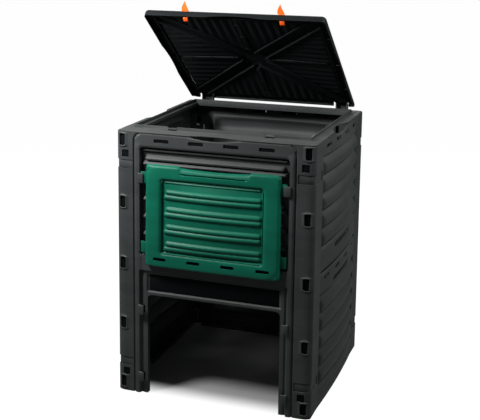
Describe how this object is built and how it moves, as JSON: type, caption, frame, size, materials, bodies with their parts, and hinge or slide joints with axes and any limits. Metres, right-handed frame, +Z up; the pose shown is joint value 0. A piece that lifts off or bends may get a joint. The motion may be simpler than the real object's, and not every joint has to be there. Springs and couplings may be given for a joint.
{
  "type": "compost bin with lid",
  "caption": "Square garden compost bin of ribbed plastic walls on corner posts, with a hinged lid, lid latches, a top collar and a sliding hatch door.",
  "frame": {"origin": "on the ground, under the middle of the bounding box at rest", "axes": "+Z up, the front with the hatch door faces -Y, +X to the right seen from the front"},
  "size_m": [0.634, 0.6416, 1.1699],
  "materials": {
    "black_plastic": "moulded, fine grained",
    "green_plastic": "moulded, satin",
    "orange_plastic": "moulded, satin",
    "steel_pin": "zinc plated"
  },
  "bodies": {
    "bin": {"front_wall": "black_plastic", "rear_wall": "black_plastic", "left_wall": "black_plastic", "right_wall": "black_plastic", "collar_rail_front": "black_plastic", "collar_rail_rear": "black_plastic", "collar_rail_left": "black_plastic", "collar_rail_right": "black_plastic", "corner_clip_front_left_lower": "black_plastic", "corner_clip_front_left_upper": "black_plastic", "corner_clip_front_right_lower": "black_plastic", "corner_clip_front_right_upper": "black_plastic", "corner_clip_rear_left_lower": "black_plastic", "corner_clip_rear_left_upper": "black_plastic", "corner_clip_rear_right_lower": "black_plastic", "corner_clip_rear_right_upper": "black_plastic", "hinge_bracket_left": "black_plastic", "hinge_bracket_right": "black_plastic", "hinge_pin_left": "steel_pin", "hinge_pin_right": "steel_pin"},
    "lid": {"lid": "black_plastic", "latch_pin_left": "steel_pin", "latch_pin_right": "steel_pin"},
    "latch_left": {"latch_left": "orange_plastic"},
    "latch_right": {"latch_right": "orange_plastic"},
    "door": {"hatch_door": "green_plastic"}
  },
  "joints": [
    {"name": "lid_hinge", "type": "hinge", "parent": "bin", "child": "lid", "pos_m": [0, 0.2898, 0.828], "axis": [-1, 0, 0], "range_deg": [-37, 68]},
    {"name": "latch_left_pivot", "type": "hinge", "parent": "lid", "child": "latch_left", "pos_m": [-0.148, -0.12892, 1.12975], "axis": [1, 0, 0], "range_deg": [0, 25]},
    {"name": "latch_right_pivot", "type": "hinge", "parent": "lid", "child": "latch_right", "pos_m": [0.148, -0.12892, 1.12975], "axis": [1, 0, 0], "range_deg": [0, 25]},
    {"name": "door_slide", "type": "slide", "parent": "bin", "child": "door", "axis": [0, 0, 1], "range_m": [-0.403, 0.015]}
  ]
}
